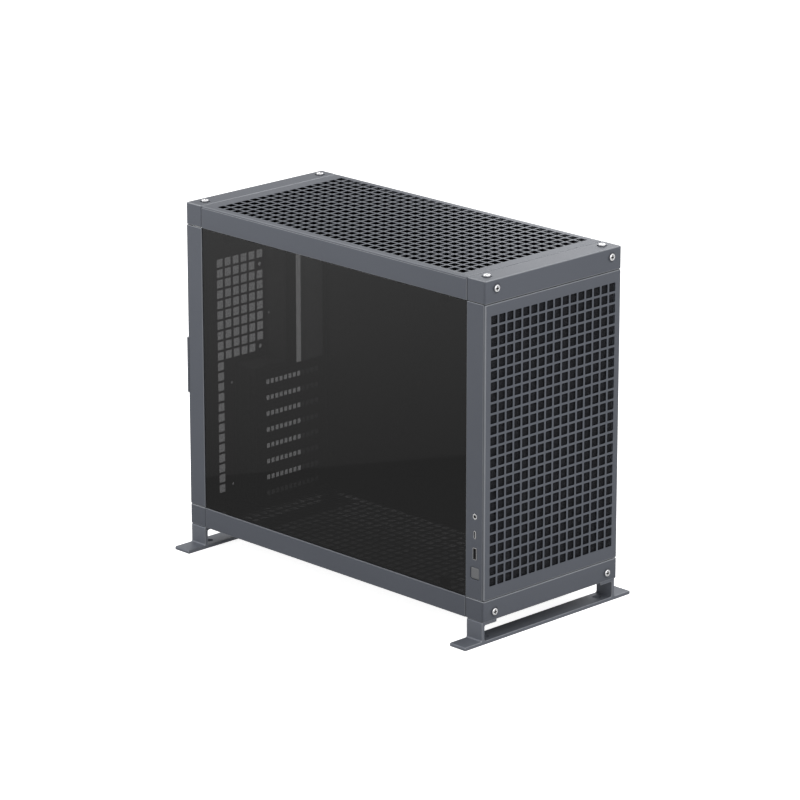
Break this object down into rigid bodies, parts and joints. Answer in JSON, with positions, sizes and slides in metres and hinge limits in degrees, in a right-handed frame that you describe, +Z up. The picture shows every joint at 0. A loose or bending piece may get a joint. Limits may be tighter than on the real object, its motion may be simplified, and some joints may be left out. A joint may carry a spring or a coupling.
{
  "type": "computer case",
  "caption": "Tower computer case with a grid-punched front and top, a tinted glass side, an exposed screwed frame, side ports and two bent plate feet.",
  "frame": {"origin": "on the floor, under the middle of the case", "axes": "+Z up, -Y towards the front grille, -X towards the glass side"},
  "size_m": [0.279, 0.5087, 0.4371],
  "materials": {
    "frame_metal": "fine bead-blasted, anodised gunmetal grey",
    "inner_metal": "black powder coat",
    "glass": "dark tinted",
    "mesh": "fine woven nylon",
    "screw_steel": "bright",
    "brass": "turned",
    "button": "satin",
    "port_metal": "plated",
    "black_plastic": "moulded",
    "circuit_board": "solder mask"
  },
  "bodies": {
    "case": {"front_top_crossbar": "frame_metal", "front_bottom_crossbar": "frame_metal", "rear_top_crossbar": "frame_metal", "rear_bottom_crossbar": "frame_metal", "left_top_rail": "frame_metal", "left_bottom_rail": "frame_metal", "right_top_rail": "frame_metal", "right_bottom_rail": "frame_metal", "front_left_pillar": "frame_metal", "front_right_pillar": "frame_metal", "rear_left_pillar": "frame_metal", "rear_right_pillar": "frame_metal", "front_grille": "frame_metal", "top_grille": "frame_metal", "right_panel": "frame_metal", "front_foot": "frame_metal", "rear_foot": "frame_metal", "bottom_panel": "inner_metal", "rear_panel": "inner_metal", "rear_well": "inner_metal", "slot_wall": "inner_metal", "motherboard_tray": "inner_metal", "left_fan_rail": "inner_metal", "right_fan_rail": "inner_metal", "slot_cover_1": "inner_metal", "slot_cover_2": "inner_metal", "slot_cover_3": "inner_metal", "slot_cover_4": "inner_metal", "slot_cover_5": "inner_metal", "slot_cover_6": "inner_metal", "slot_cover_7": "inner_metal", "slot_cover_8": "inner_metal", "glass_panel": "glass", "front_dust_filter": "mesh", "top_dust_filter": "mesh", "front_screws": "screw_steel", "rear_screws": "screw_steel", "top_screws": "screw_steel", "foot_screws": "screw_steel", "slot_screws": "screw_steel", "standoffs": "brass", "usb_a_port": "port_metal", "usb_c_port": "port_metal", "audio_jack": "port_metal", "panel_clips": "black_plastic", "power_switch": "black_plastic", "mains_inlet": "black_plastic", "board_spacers": "black_plastic", "port_board": "circuit_board"},
    "button": {"power_button": "button"}
  },
  "joints": [
    {"name": "power_button_press", "type": "slide", "parent": "case", "child": "button", "axis": [1, 0, 0], "range_m": [0, 0.0012], "stiffness_N_per_m": 600, "springref_m": -0.0005}
  ]
}
